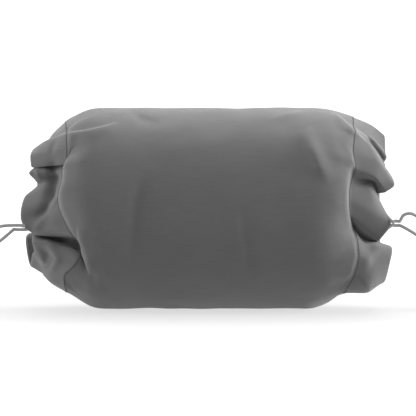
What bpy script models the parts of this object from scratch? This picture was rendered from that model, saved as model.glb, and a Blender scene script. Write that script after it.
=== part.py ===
"""Two-mouthed drawcord laundry bag, lying on its side, as separate sewn and moulded pieces.

Metres, +Z up. X runs from mouth to mouth, -Y is the front, and the origin is under the middle of
the bag, on the surface that it rests on. A cloth tube has a folded hem sewn to each end. A cord
runs in each hem's fold, leaves by an outlet at the front, passes through a spring cord lock and
ends in a knot.
"""

import math

import bmesh
import bpy
from mathutils import Vector

# Bag: sections are (half depth in Y, half height in Z, centre height) of the outer surface.
BAG_LENGTH = 0.372
SEAM_X = 0.1455
SHOULDER_X = 0.092
BODY_SECTION = (0.107, 0.1045, 0.0970)
SEAM_SECTION = (0.087, 0.0830, 0.1040)
MOUTH_SECTIONS = {"left": (0.064, 0.062, 0.0970), "right": (0.074, 0.073, 0.0985)}
SIDES = {"left": -1, "right": 1}

# Cloth
FABRIC = 0.0012
CLEARANCE = 0.0003
RING_POINTS = 40

# Hem fold, which is the cord's tunnel
FOLD_RADIUS = 0.0026
FOLD_X = BAG_LENGTH / 2 - FOLD_RADIUS - FABRIC / 2
MOUTH_X = FOLD_X - 0.0060
HEM_GAP = 0.0007
HEM_PLY_GAP = 0.0024

# Thread, and the tape that binds the body's lengthwise seam, low at the back
THREAD = 0.0007
TAPE = 0.0006
TAPE_GAP = 0.0009
TAPE_FIRST_POINT = 3 * RING_POINTS // 4 + 4

# Drawcords
CORD = 0.0030
OUTLET_HEIGHTS = {"left": 0.0840, "right": 0.0885}
OUTLET_SPREAD = 0.0022
OUTLET_BEND = 0.0030
OUTLET_SLOT = (0.0050, 0.0042, 0.0146)
STRAND_START = FOLD_X + OUTLET_BEND + 0.0010
STRAND_LEAD = 0.0020

# Cord locks, each with its barrel along X and the two strands one above the other through it
LOCK = Vector((0.2290, -0.0050, 0.0071))
LOCK_STRAND_RISE = 0.0019
LOCK_STRAIGHT = 0.0165
BARREL_RADIUS = 0.0070
BARREL_INNER_END = -0.0110
BARREL_OUTER_END = 0.0075
BARREL_FLOOR = 0.0015
BARREL_BORE = 0.0053
PLUNGER_RADIUS = 0.0049
PLUNGER_TRAVEL = 0.0030
PLUNGER_INNER_END = -0.0040
PLUNGER_OUTER_END = 0.0125
CORD_SLOT_HALF = CORD / 2 + CLEARANCE
CORD_SLOT_HEIGHT = 2 * (LOCK_STRAND_RISE + CORD_SLOT_HALF)
SPRING_RADIUS = 0.0035
SPRING_WIRE = 0.0006
SPRING_TURNS = 3

# Knots: half sizes, and where the middle is
KNOT_HALF = (0.0058, 0.0066, 0.0050)
KNOT = Vector((0.2287, 0.0400, 0.0052))
KNOT_TAIL = 0.0120

# The strands' routes: outward distance from the bag's middle, Y, height. They leave the outlet,
# fall to the surface under their own weight and run straight into the cord lock.
STRAND_FALLS = {
    ("left", "upper"): (
        (0.1965, -0.0600, 0.0858),
        (0.2065, -0.0604, 0.0838),
        (0.2170, -0.0585, 0.0770),
        (0.2248, -0.0535, 0.0620),
        (0.2286, -0.0470, 0.0430),
        (0.2294, -0.0390, 0.0240),
        (0.2291, -0.0300, 0.0118),
    ),
    ("left", "lower"): (
        (0.1960, -0.0608, 0.0760),
        (0.2065, -0.0625, 0.0665),
        (0.2165, -0.0620, 0.0500),
        (0.2232, -0.0590, 0.0310),
        (0.2268, -0.0525, 0.0150),
        (0.2285, -0.0420, 0.0066),
        (0.2290, -0.0310, 0.0052),
    ),
    ("right", "upper"): (
        (0.1918, -0.0705, 0.0958),
        (0.1972, -0.0708, 0.0982),
        (0.2035, -0.0706, 0.0966),
        (0.2100, -0.0698, 0.0912),
        (0.2190, -0.0660, 0.0780),
        (0.2258, -0.0590, 0.0590),
        (0.2290, -0.0490, 0.0370),
        (0.2294, -0.0380, 0.0195),
        (0.2291, -0.0290, 0.0108),
    ),
    ("right", "lower"): (
        (0.1965, -0.0712, 0.0826),
        (0.2095, -0.0715, 0.0735),
        (0.2190, -0.0695, 0.0580),
        (0.2248, -0.0650, 0.0380),
        (0.2276, -0.0570, 0.0190),
        (0.2288, -0.0450, 0.0075),
        (0.2290, -0.0320, 0.0052),
    ),
}
TAIL_HALF_SPREAD = 0.0019

COLOURS = {
    "shell_fabric": ((0.130, 0.130, 0.130), 0.75, 0.0),
    "binding_tape": ((0.090, 0.090, 0.092), 0.80, 0.0),
    "cord": ((0.300, 0.300, 0.300), 0.70, 0.0),
    "thread": ((0.070, 0.070, 0.070), 0.70, 0.0),
    "lock_plastic": ((0.045, 0.045, 0.048), 0.45, 0.0),
    "spring_steel": ((0.560, 0.560, 0.570), 0.30, 1.0),
}


def clear_scene():
    for obj in list(bpy.data.objects):
        bpy.data.objects.remove(obj)


def new_collection(name):
    collection = bpy.data.collections.new(name)
    bpy.context.scene.collection.children.link(collection)
    return collection


def new_material(name):
    colour, roughness, metallic = COLOURS[name]
    material = bpy.data.materials.new(name)
    material.use_nodes = True
    shader = material.node_tree.nodes["Principled BSDF"]
    shader.inputs["Base Color"].default_value = (*colour, 1.0)
    shader.inputs["Roughness"].default_value = roughness
    shader.inputs["Metallic"].default_value = metallic
    return material


def add_object(name, data, collection, material=None):
    obj = bpy.data.objects.new(name, data)
    collection.objects.link(obj)
    if material:
        data.materials.append(material)
    return obj


def section(x):
    """(half depth, half height, centre height) of the bag's outer surface at x."""
    out = abs(x)
    mouth = MOUTH_SECTIONS["left" if x < 0 else "right"]
    if out <= SEAM_X:
        share = max(0.0, (out - SHOULDER_X) / (SEAM_X - SHOULDER_X)) ** 2
        start, end = BODY_SECTION, SEAM_SECTION
    else:
        share = min(1.0, (out - SEAM_X) / (MOUTH_X - SEAM_X))
        start, end = SEAM_SECTION, mouth
    return tuple(a + (b - a) * share for a, b in zip(start, end))


def on_section(x, inset, angle, shape_x=None):
    """A point at x, that far inside the outer surface, at an angle from +Y towards +Z."""
    depth, height, centre = section(x if shape_x is None else shape_x)
    z = centre + (height - inset) * math.sin(angle)
    return Vector((x, (depth - inset) * math.cos(angle), max(z, inset)))


def ring_angle(number):
    return 2 * math.pi * number / RING_POINTS


def sheet_through(name, rows, thickness, offset, closed, collection, material):
    """An open sheet through rows of points, made solid. Offset -1 keeps it as the outer face."""
    mesh = bpy.data.meshes.new(name)
    bm = bmesh.new()
    grid = [[bm.verts.new(point) for point in row] for row in rows]
    count = len(rows[0])
    for near, far in zip(grid, grid[1:]):
        for i in range(count if closed else count - 1):
            j = (i + 1) % count
            bm.faces.new((near[i], near[j], far[j], far[i]))
    bm.to_mesh(mesh)
    bm.free()
    mesh.shade_smooth()
    obj = add_object(name, mesh, collection, material)
    solid = obj.modifiers.new("thickness", "SOLIDIFY")
    solid.thickness = thickness
    solid.offset = offset
    solid.use_even_offset = True
    return obj


def ring_row(x, inset, shape_x=None):
    return [on_section(x, inset, ring_angle(i), shape_x) for i in range(RING_POINTS)]


def spaced(low, high, count):
    return [low + (high - low) * i / (count - 1) for i in range(count)]


def body_stations(end_x):
    half = [0.0, SHOULDER_X, *spaced(SHOULDER_X, end_x, 5)[1:]]
    return [-x for x in reversed(half[1:])] + half


def make_body(collection, materials):
    """The panel, wrapped into a tube, and the tape inside it along its seam."""
    end_x = SEAM_X - HEM_GAP
    rows = [ring_row(x, 0.0) for x in body_stations(end_x)]
    sheet_through("body_panel", rows, FABRIC, -1, True, collection, materials["shell_fabric"])

    tape_inset = FABRIC + TAPE_GAP
    angles = [ring_angle(TAPE_FIRST_POINT + i) for i in range(2)]
    rows = [
        [on_section(x, tape_inset, angle) for angle in angles]
        for x in body_stations(end_x)
    ]
    sheet_through("seam_tape", rows, TAPE, -1, False, collection, materials["binding_tape"])


def make_hem(side, collection, cutters, materials):
    """The end of the tube folded inwards over the drawcord, with a slot where the cord leaves."""
    sign = SIDES[side]
    stations = [*spaced(SEAM_X + HEM_GAP, MOUTH_X, 3), FOLD_X]
    half = FABRIC / 2
    outer = [ring_row(sign * x, half) for x in stations]
    turns = [math.radians(angle) for angle in range(30, 180, 30)]
    fold = [
        ring_row(
            sign * (FOLD_X + FOLD_RADIUS * math.sin(turn)),
            half + FOLD_RADIUS * (1 - math.cos(turn)),
            sign * FOLD_X,
        )
        for turn in turns
    ]
    insets = [*spaced(half + HEM_PLY_GAP, half + 2 * FOLD_RADIUS, 3), half + 2 * FOLD_RADIUS]
    inner = [ring_row(sign * x, inset) for x, inset in zip(stations, insets)]
    rows = outer + fold + inner[::-1]
    if sign < 0:
        rows = rows[::-1]
    name = f"{side}_hem"
    hem = sheet_through(name, rows, FABRIC, 0, True, collection, materials["shell_fabric"])

    bpy.ops.mesh.primitive_cube_add(size=1.0)
    cutter = bpy.context.object
    cutter.name = f"{side}_outlet_cutter"
    cutter.data.transform(cutter.matrix_world.Diagonal((*OUTLET_SLOT, 1.0)))
    cutter.location = outlet_point(side, 0, OUTLET_SLOT[0] / 2 + CLEARANCE)
    up = outlet_point(side, OUTLET_SPREAD, 0) - outlet_point(side, -OUTLET_SPREAD, 0)
    cutter.rotation_euler = (math.atan2(-up.y, up.z), 0, 0)
    move_to(cutter, cutters)
    cut(hem, cutter)


def move_to(obj, collection):
    for holder in list(obj.users_collection):
        holder.objects.unlink(obj)
    collection.objects.link(obj)
    if collection.name == "cutters":
        obj.hide_render = True
        obj.display_type = "WIRE"


def cut(obj, cutter):
    boolean = obj.modifiers.new(cutter.name, "BOOLEAN")
    boolean.operation = "DIFFERENCE"
    boolean.object = cutter


def tube(name, points, diameter, collection, material, cyclic=False):
    curve = bpy.data.curves.new(name, "CURVE")
    curve.dimensions = "3D"
    curve.bevel_depth = diameter / 2
    curve.bevel_resolution = 2
    curve.use_fill_caps = True
    spline = curve.splines.new("POLY")
    spline.points.add(len(points) - 1)
    for target, point in zip(spline.points, points):
        target.co = (*point, 1.0)
    spline.use_cyclic_u = cyclic
    return add_object(name, curve, collection, material)


def make_stitching(side, collection, materials):
    """The ring of thread that closes the hem, in the groove between hem and body."""
    x = SIDES[side] * SEAM_X
    points = [on_section(x, FABRIC / 2, ring_angle(i)) for i in range(RING_POINTS)]
    tube(f"{side}_hem_stitching", points, THREAD, collection, materials["thread"], True)


def outlet_angle(side):
    """Where on the cord's ring the outlet is: at the front, at its own height."""
    _, height, centre = section(SIDES[side] * FOLD_X)
    rise = (OUTLET_HEIGHTS[side] - centre) / (height - FABRIC / 2 - FOLD_RADIUS)
    return math.pi - math.asin(rise)


def ring_point(side, angle):
    return on_section(SIDES[side] * FOLD_X, FABRIC / 2 + FOLD_RADIUS, angle)


def outlet_point(side, along, out):
    """A point that far up the tunnel from the middle of the outlet, and that far out of it."""
    _, height, _ = section(SIDES[side] * FOLD_X)
    angle = outlet_angle(side) - along / (height - FABRIC / 2 - FOLD_RADIUS)
    return ring_point(side, angle) + Vector((SIDES[side] * out, 0, 0))


def outlet_bend(side, direction):
    """From outside the outlet to the tunnel, turning up or down into it."""
    route = [outlet_point(side, direction * OUTLET_SPREAD, STRAND_START - FOLD_X)]
    for degrees in (0, 30, 60, 90):
        turn = math.radians(degrees)
        along = OUTLET_SPREAD + OUTLET_BEND * (1 - math.cos(turn))
        out = OUTLET_BEND * (1 - math.sin(turn))
        route.append(outlet_point(side, direction * along, out))
    return route


def channel_route(side):
    """In through the lower outlet, round the tunnel under the bag and back over its top."""
    start = outlet_angle(side)
    _, height, _ = section(SIDES[side] * FOLD_X)
    gap = 1.6 * (OUTLET_SPREAD + OUTLET_BEND) / height
    angles = [ring_angle(i) for i in range(2 * RING_POINTS)]
    ring = [
        ring_point(side, angle)
        for angle in angles
        if start + gap < angle < start + 2 * math.pi - gap
    ]
    return outlet_bend(side, -1) + ring + outlet_bend(side, 1)[::-1]


def smooth_route(points, spacing):
    """Points that far apart along a Catmull-Rom curve through the route's own points."""
    ends = [2 * points[0] - points[1], *points, 2 * points[-1] - points[-2]]
    fine = []
    steps = 12
    for a, b, c, d in zip(ends, ends[1:], ends[2:], ends[3:]):
        for i in range(steps):
            t = i / steps
            fine.append(
                0.5
                * (
                    2 * b
                    + (c - a) * t
                    + (2 * a - 5 * b + 4 * c - d) * t * t
                    + (3 * b - a - 3 * c + d) * t * t * t
                )
            )
    fine.append(points[-1])
    lengths = [0.0]
    for p, q in zip(fine, fine[1:]):
        lengths.append(lengths[-1] + (q - p).length)
    count = round(lengths[-1] / spacing)
    route, k = [], 0
    for i in range(count + 1):
        along = lengths[-1] * i / count
        while k < len(fine) - 2 and lengths[k + 1] < along:
            k += 1
        share = (along - lengths[k]) / (lengths[k + 1] - lengths[k])
        route.append(fine[k].lerp(fine[k + 1], min(share, 1.0)))
    return route


def strand_route(side, level):
    """Outlet, fall, straight through the lock, then down to the knot."""
    up = 1 if level == "upper" else -1
    outlet = outlet_point(side, up * OUTLET_SPREAD, 0)
    start = STRAND_START + CLEARANCE
    lock_z = LOCK.z + up * LOCK_STRAND_RISE
    tail_x = KNOT.x - up * TAIL_HALF_SPREAD
    points = [
        (start, outlet.y, outlet.z),
        (start + STRAND_LEAD, outlet.y, outlet.z),
        *STRAND_FALLS[side, level],
        (LOCK.x, LOCK.y - LOCK_STRAIGHT, lock_z),
        (LOCK.x, LOCK.y - LOCK_STRAIGHT / 2, lock_z),
        (LOCK.x, LOCK.y, lock_z),
        (LOCK.x, LOCK.y + LOCK_STRAIGHT / 2, lock_z),
        (LOCK.x, LOCK.y + LOCK_STRAIGHT, lock_z),
        (tail_x, (LOCK.y + LOCK_STRAIGHT + KNOT.y) / 2 - 0.002, (lock_z + KNOT.z) / 2),
        (tail_x, KNOT.y - KNOT_HALF[1] - CLEARANCE, KNOT.z),
    ]
    sign = SIDES[side]
    return [Vector((sign * out, y, z)) for out, y, z in points]


def make_drawcord(side, collection, materials):
    material = materials["cord"]
    tube(f"{side}_channel_cord", channel_route(side), CORD, collection, material)
    for level in ("upper", "lower"):
        start, *rest = strand_route(side, level)
        route = [start, *smooth_route(rest, 2.2 * CORD)]
        tube(f"{side}_{level}_strand", route, CORD, collection, material)


def mirror_x(sign, x):
    return sign * x


def cylinder(name, radius, start, end, parent, collection, material=None, sides=24):
    """A cylinder along X, from start to end measured outwards from the lock's middle."""
    middle = mirror_x(SIDES[parent["side"]], (start + end) / 2)
    bpy.ops.mesh.primitive_cylinder_add(vertices=sides, radius=radius, depth=end - start)
    obj = bpy.context.object
    turn = obj.matrix_world.Rotation(math.pi / 2, 4, "Y")
    obj.data.transform(obj.matrix_world.Translation((middle, 0, 0)) @ turn)
    obj.name = name
    move_to(obj, collection)
    obj.parent = parent
    if material:
        obj.data.materials.append(material)
        obj.data.shade_smooth()
        obj.data.set_sharp_from_angle(angle=math.radians(40))
    return obj


def round_edges(obj, width):
    bevel = obj.modifiers.new("rounded edges", "BEVEL")
    bevel.width = width
    bevel.segments = 2
    bevel.limit_method = "ANGLE"


def slot_cutter(name, start, end, parent, cutters):
    """A box through the lock along Y, for the two strands."""
    bpy.ops.mesh.primitive_cube_add(size=1.0)
    box = bpy.context.object
    size = (end - start, 4 * BARREL_RADIUS, CORD_SLOT_HEIGHT, 1.0)
    middle = mirror_x(SIDES[parent["side"]], (start + end) / 2)
    box.data.transform(
        box.matrix_world.Translation((middle, 0, 0)) @ box.matrix_world.Diagonal(size)
    )
    box.name = name
    move_to(box, cutters)
    box.parent = parent
    return box


def make_lock(side, collection, cutters, materials):
    """Barrel, plunger and spring. The plunger's slot is longer than the barrel's, by its travel."""
    sign = SIDES[side]
    holder = bpy.data.objects.new(f"{side}_lock_axis", None)
    collection.objects.link(holder)
    holder.location = (sign * LOCK.x, LOCK.y, LOCK.z)
    holder["side"] = side
    plastic = materials["lock_plastic"]

    ends = (BARREL_INNER_END, BARREL_OUTER_END)
    barrel = cylinder(f"{side}_lock_barrel", BARREL_RADIUS, *ends, holder, collection, plastic)
    round_edges(barrel, 0.0010)
    bore_ends = (BARREL_INNER_END + BARREL_FLOOR, BARREL_OUTER_END + 0.002)
    cut(barrel, cylinder(f"{side}_bore_cutter", BARREL_BORE, *bore_ends, holder, cutters))
    half = CORD_SLOT_HALF
    cut(barrel, slot_cutter(f"{side}_barrel_slot_cutter", -half, half, holder, cutters))

    ends = (PLUNGER_INNER_END, PLUNGER_OUTER_END)
    plunger = cylinder(f"{side}_lock_plunger", PLUNGER_RADIUS, *ends, holder, collection, plastic)
    round_edges(plunger, 0.0008)
    slot_ends = (-half, half + PLUNGER_TRAVEL)
    cut(plunger, slot_cutter(f"{side}_plunger_slot_cutter", *slot_ends, holder, cutters))

    low = BARREL_INNER_END + BARREL_FLOOR + SPRING_WIRE / 2 + CLEARANCE
    high = PLUNGER_INNER_END - SPRING_WIRE / 2 - CLEARANCE
    points_per_turn = 10
    count = SPRING_TURNS * points_per_turn
    coil = [
        (
            sign * (low + (high - low) * i / count),
            SPRING_RADIUS * math.cos(2 * math.pi * i / points_per_turn),
            SPRING_RADIUS * math.sin(2 * math.pi * i / points_per_turn),
        )
        for i in range(count + 1)
    ]
    steel = materials["spring_steel"]
    spring = tube(f"{side}_lock_spring", coil, SPRING_WIRE, collection, steel)
    spring.data.bevel_resolution = 1
    spring.parent = holder


def make_knot(side, collection, cutters, materials):
    """Both strands tied together in one knot, with two short tails joined to it."""
    sign = SIDES[side]
    bpy.ops.mesh.primitive_uv_sphere_add(segments=14, ring_count=9, radius=1.0)
    knot = bpy.context.object
    knot.data.transform(knot.matrix_world.Diagonal((*KNOT_HALF, 1.0)))
    knot.name = f"{side}_cord_knot"
    knot.location = (sign * KNOT.x, KNOT.y, KNOT.z)
    knot.data.materials.append(materials["cord"])
    knot.data.shade_smooth()
    move_to(knot, collection)
    for number, lean in enumerate((-1, 1)):
        bpy.ops.mesh.primitive_cylinder_add(vertices=10, radius=CORD / 2, depth=KNOT_TAIL)
        tail = bpy.context.object
        tail.name = f"{side}_tail_{number + 1}_shape"
        tail.data.transform(tail.matrix_world.Rotation(math.pi / 2, 4, "X"))
        tail.rotation_euler = (0, 0, lean * math.radians(-16))
        tail.location = (
            knot.location.x + lean * 0.0034,
            KNOT.y + KNOT_HALF[1] + KNOT_TAIL / 2 - 0.0025,
            KNOT.z - 0.0020,
        )
        move_to(tail, cutters)
        join = knot.modifiers.new(tail.name, "BOOLEAN")
        join.operation = "UNION"
        join.object = tail


def main():
    clear_scene()
    bag = new_collection("laundry_bag")
    cutters = new_collection("cutters")
    materials = {name: new_material(name) for name in COLOURS}
    make_body(bag, materials)
    for side in SIDES:
        make_hem(side, bag, cutters, materials)
        make_stitching(side, bag, materials)
        make_drawcord(side, bag, materials)
        make_lock(side, bag, cutters, materials)
        make_knot(side, bag, cutters, materials)


main()
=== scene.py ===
"""Looks of the drawcord laundry bag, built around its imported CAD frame.

Metres, +Z up, the bag's front at -Y. The cloth is one grid of points, relaxed as cloth and then
shaped fold by fold. The body panel and the two hems are cut from it along the stitched seams.
"""

import math

import bpy
import numpy as np
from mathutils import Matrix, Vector


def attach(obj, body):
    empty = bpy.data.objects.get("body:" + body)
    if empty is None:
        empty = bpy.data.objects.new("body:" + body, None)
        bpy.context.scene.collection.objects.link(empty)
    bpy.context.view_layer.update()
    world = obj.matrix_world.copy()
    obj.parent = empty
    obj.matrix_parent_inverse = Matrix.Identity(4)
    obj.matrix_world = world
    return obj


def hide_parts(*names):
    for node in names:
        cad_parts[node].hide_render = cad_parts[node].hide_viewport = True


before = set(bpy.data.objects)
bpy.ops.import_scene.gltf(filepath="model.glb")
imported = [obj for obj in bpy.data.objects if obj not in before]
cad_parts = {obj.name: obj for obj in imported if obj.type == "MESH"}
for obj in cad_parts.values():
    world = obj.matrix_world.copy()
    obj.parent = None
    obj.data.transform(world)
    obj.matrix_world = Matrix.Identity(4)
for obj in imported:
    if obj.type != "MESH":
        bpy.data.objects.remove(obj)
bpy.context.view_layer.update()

SIDES = {"left": -1, "right": 1}

# Cloth grid: round the bag, and along it from mouth to mouth
GIRTH = 0.660
AROUND = 160
STEP = GIRTH / AROUND
ALONG = 98
SEAM_ROW = 10
FABRIC = 0.0012
FINER = 3

# Rows of the cloth that the fold lines give: distance from the mouth, along the cloth
LINE_ROWS = (0.0, 0.0200, 0.04125)
FOLD_ROUNDNESS = 0.75
# The cloth's relaxation: how long, how firmly each distance from the mouth is held and how much it
# is filled, the cloth itself, the furthest that a point may move, and how much of that is evened
SETTLE_FRAMES = 12
SETTLE_HOLD_AT = (0.0, 0.004, 0.012, 0.045, 0.070, 0.110)
SETTLE_HOLD = (1.0, 1.0, 0.85, 0.75, 0.55, 0.45)
SETTLE_FILLED_AT = (0.04, 0.09)
SETTLE_FILLED = (0.1, 1.0)
SETTLE_CLOTH = {
    "quality": 5,
    "mass": 0.1,
    "tension_stiffness": 15,
    "compression_stiffness": 15,
    "shear_stiffness": 5,
    "bending_stiffness": 5,
    "bending_damping": 1,
    "air_damping": 1,
    "pin_stiffness": 1,
    "use_pressure": True,
    "uniform_pressure_force": 100,
}
SETTLE_GRAVITY = 0.1
SETTLE_FURTHEST = 0.0045
SETTLE_SMOOTHED = 9
# From the seam to the full body: distances from the mouth, how far out each is, and the body
SHOULDER_ROWS = (0.0470, 0.0580, 0.0790, 0.1080)
SHOULDER_OUT = (0.06, 0.20, 0.50, 1.0)
BODY_X = {"left": 0.0960, "right": 0.0955}
BODY_HALF = (0.1060, 0.1000)
BODY_CENTRE = 0.1005

# The folds of each end, as lines along the cloth from the mouth to the seam, in order from the
# top over the front to the underside. Each has three points, (x, height in the front view, y),
# and how the body swells past the seam there: the smaller the power, the fuller its shoulder.
FRONT_LINES = {
    "left": (
        ((-0.1680, 0.157, 0.004), (-0.1540, 0.174, 0.002), (-0.1400, 0.187, 0.000), 0.60),
        ((-0.1690, 0.150, -0.012), (-0.1560, 0.168, -0.018), (-0.1400, 0.183, -0.028), 0.60),
        ((-0.1690, 0.154, -0.020), (-0.1560, 0.164, -0.030), (-0.1390, 0.177, -0.044), 0.55),
        ((-0.1745, 0.160, -0.030), (-0.1600, 0.168, -0.040), (-0.1385, 0.175, -0.054), 0.45),
        ((-0.1775, 0.153, -0.042), (-0.1600, 0.157, -0.054), (-0.1385, 0.162, -0.068), 0.30),
        ((-0.1765, 0.143, -0.042), (-0.1590, 0.144, -0.056), (-0.1385, 0.145, -0.074), 0.24),
        ((-0.1720, 0.143, -0.025), (-0.1580, 0.144, -0.034), (-0.1400, 0.145, -0.056), 0.20),
        ((-0.1785, 0.136, -0.040), (-0.1620, 0.138, -0.050), (-0.1440, 0.138, -0.064), 0.20),
        ((-0.1710, 0.125, -0.036), (-0.1560, 0.130, -0.050), (-0.1440, 0.131, -0.067), 0.20),
        ((-0.1830, 0.113, -0.050), (-0.1620, 0.117, -0.058), (-0.1460, 0.122, -0.070), 0.20),
        ((-0.1865, 0.101, -0.058), (-0.1640, 0.104, -0.068), (-0.1480, 0.114, -0.075), 0.22),
        ((-0.1865, 0.090, -0.060), (-0.1630, 0.096, -0.066), (-0.1475, 0.106, -0.077), 0.26),
        ((-0.1825, 0.0815, -0.0600), (-0.1600, 0.090, -0.072), (-0.1465, 0.100, -0.080), 0.32),
        ((-0.1750, 0.076, -0.056), (-0.1530, 0.078, -0.076), (-0.1360, 0.077, -0.086), 0.40),
        ((-0.1740, 0.074, -0.034), (-0.1500, 0.070, -0.036), (-0.1270, 0.068, -0.056), 0.30),
        ((-0.1755, 0.066, -0.048), (-0.1510, 0.062, -0.066), (-0.1250, 0.055, -0.082), 0.40),
        ((-0.1720, 0.052, -0.050), (-0.1510, 0.049, -0.066), (-0.1330, 0.043, -0.078), 0.50),
        ((-0.1690, 0.044, -0.036), (-0.1560, 0.040, -0.052), (-0.1420, 0.034, -0.066), 0.65),
        ((-0.1660, 0.034, -0.032), (-0.1570, 0.029, -0.044), (-0.1410, 0.022, -0.054), 0.80),
        ((-0.1650, 0.038, -0.010), (-0.1530, 0.026, -0.016), (-0.1400, 0.0175, -0.024), 0.95),
    ),
    "right": (
        ((0.1795, 0.174, -0.004), (0.1640, 0.1830, -0.004), (0.1455, 0.1915, -0.002), 0.60),
        ((0.1805, 0.156, -0.016), (0.1640, 0.170, -0.024), (0.1465, 0.184, -0.034), 0.60),
        ((0.1805, 0.141, -0.026), (0.1650, 0.162, -0.034), (0.1465, 0.180, -0.046), 0.58),
        ((0.1820, 0.140, -0.040), (0.1640, 0.163, -0.052), (0.1475, 0.174, -0.058), 0.52),
        ((0.1895, 0.125, -0.060), (0.1700, 0.147, -0.070), (0.1460, 0.156, -0.074), 0.40),
        ((0.1810, 0.118, -0.060), (0.1690, 0.131, -0.072), (0.1485, 0.140, -0.080), 0.26),
        ((0.1730, 0.116, -0.046), (0.1670, 0.127, -0.052), (0.1450, 0.131, -0.073), 0.20),
        ((0.1775, 0.105, -0.061), (0.1620, 0.122, -0.066), (0.1425, 0.121, -0.077), 0.18),
        ((0.1860, 0.0857, -0.0705), (0.1660, 0.097, -0.079), (0.1420, 0.107, -0.083), 0.18),
        ((0.1755, 0.071, -0.062), (0.1580, 0.082, -0.074), (0.1430, 0.094, -0.083), 0.20),
        ((0.1730, 0.067, -0.036), (0.1570, 0.070, -0.042), (0.1460, 0.083, -0.060), 0.22),
        ((0.1865, 0.062, -0.048), (0.1640, 0.061, -0.064), (0.1500, 0.072, -0.078), 0.32),
        ((0.1850, 0.047, -0.062), (0.1680, 0.044, -0.074), (0.1525, 0.054, -0.084), 0.45),
        ((0.1800, 0.028, -0.052), (0.1640, 0.023, -0.066), (0.1485, 0.036, -0.078), 0.75),
        ((0.1740, 0.026, -0.038), (0.1600, 0.017, -0.046), (0.1400, 0.020, -0.058), 1.60),
        ((0.1700, 0.034, -0.014), (0.1560, 0.018, -0.018), (0.1380, 0.0165, -0.030), 2.60),
    ),
}
# The back's folds are even: how many, and how far each stands out at the mouth and at the seam
BACK_FOLDS = 5
BACK_RINGS = {
    "left": ((0.173, 0.0560, 0.0100), (0.158, 0.0680, 0.0090), (0.1430, 0.0800, 0.0060)),
    "right": ((0.178, 0.0660, 0.0110), (0.162, 0.0750, 0.0090), (0.1445, 0.0830, 0.0060)),
}
BACK_CENTRE = 0.0990
BACK_SWELL = 0.45
BACK_LOWEST = 0.004
# One of the left end's back folds reaches out past the front ones: how far, and where round the
# back, as shares of the way up it
BACK_REACH = {"left": 0.0110, "right": 0.0}
BACK_REACH_AT = 0.3
BACK_REACH_HALF = 0.25

# Free cords: the same routes as the CAD strands, as outward distance from the middle, Y, height
CORD = 0.0030
CLEARANCE = 0.0003
STRAND_START = 0.1871
STRAND_LEAD = 0.0020
OUTLETS = {
    ("left", "upper"): (-0.05976, 0.08615),
    ("left", "lower"): (-0.05875, 0.08186),
    ("right", "upper"): (-0.07035, 0.09068),
    ("right", "lower"): (-0.06972, 0.08633),
}
STRAND_FALLS = {
    ("left", "upper"): (
        (0.1965, -0.0600, 0.0858),
        (0.2065, -0.0604, 0.0838),
        (0.2170, -0.0585, 0.0770),
        (0.2248, -0.0535, 0.0620),
        (0.2286, -0.0470, 0.0430),
        (0.2294, -0.0390, 0.0240),
        (0.2291, -0.0300, 0.0118),
    ),
    ("left", "lower"): (
        (0.1960, -0.0608, 0.0760),
        (0.2065, -0.0625, 0.0665),
        (0.2165, -0.0620, 0.0500),
        (0.2232, -0.0590, 0.0310),
        (0.2268, -0.0525, 0.0150),
        (0.2285, -0.0420, 0.0066),
        (0.2290, -0.0310, 0.0052),
    ),
    ("right", "upper"): (
        (0.1918, -0.0705, 0.0958),
        (0.1972, -0.0708, 0.0982),
        (0.2035, -0.0706, 0.0966),
        (0.2100, -0.0698, 0.0912),
        (0.2190, -0.0660, 0.0780),
        (0.2258, -0.0590, 0.0590),
        (0.2290, -0.0490, 0.0370),
        (0.2294, -0.0380, 0.0195),
        (0.2291, -0.0290, 0.0108),
    ),
    ("right", "lower"): (
        (0.1965, -0.0712, 0.0826),
        (0.2095, -0.0715, 0.0735),
        (0.2190, -0.0695, 0.0580),
        (0.2248, -0.0650, 0.0380),
        (0.2276, -0.0570, 0.0190),
        (0.2288, -0.0450, 0.0075),
        (0.2290, -0.0320, 0.0052),
    ),
}
LOCK = Vector((0.2290, -0.0050, 0.0071))
LOCK_STRAND_RISE = 0.0019
LOCK_STRAIGHT = 0.0165
KNOT = Vector((0.2287, 0.0400, 0.0052))
KNOT_HALF = (0.0058, 0.0066, 0.0050)
TAIL_HALF_SPREAD = 0.0019
KNOT_CORD = CORD / 2 * 0.93
KNOT_SPACING = 0.0006
KNOT_WRAPS = 2.25
KNOT_WRAP_STEPS = 14
KNOT_WRAP_PITCH = 0.0029
KNOT_WRAP_HALF = (0.0041, 0.0034)
KNOT_WRAP_LEAN = 0.0007

# Round braid: how far one carrier climbs in a turn's share, and how proud it stands
BRAID_PITCH = 0.0022
BRAID_CARRIERS = 6
BRAID_SIDES = 24
BRAID_RELIEF = 0.00012

# Hem: the folded edge's half depth over the cord, and the gap between its plies at the seam
FOLD_HALF = 0.0022
FOLD_STEPS = 5
PLY_GAP = 0.0016
TUNNEL_DEPTH = 0.0120

# Tape inside the body: thickness, gap to the cloth, and where it lies round the bag
TAPE = 0.0006
TAPE_GAP = 0.0009
TAPE_TURN = (0.850, 0.875)

# Thread
THREAD = 0.0008
STITCH_PITCH = 0.0036
STITCH_LENGTH = 0.0026

# Cloth: how much its thick threads are drawn out, along the girth and along the bag
THICK_THREAD_STRETCH = (1.0, 0.12, 1.0)

# How many grid columns on each side of an outlet the cord needs to bend into the fold
CORD_CLEAR = 2

# Camera: its height in degrees, what it looks at, from how far, and how wide it sees there
VIEW_ELEVATION = 2.0
VIEW_TARGET = (0.0015, 0.0, 0.101)
VIEW_DISTANCE = 3.0
VIEW_WIDTH = 0.416
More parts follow.
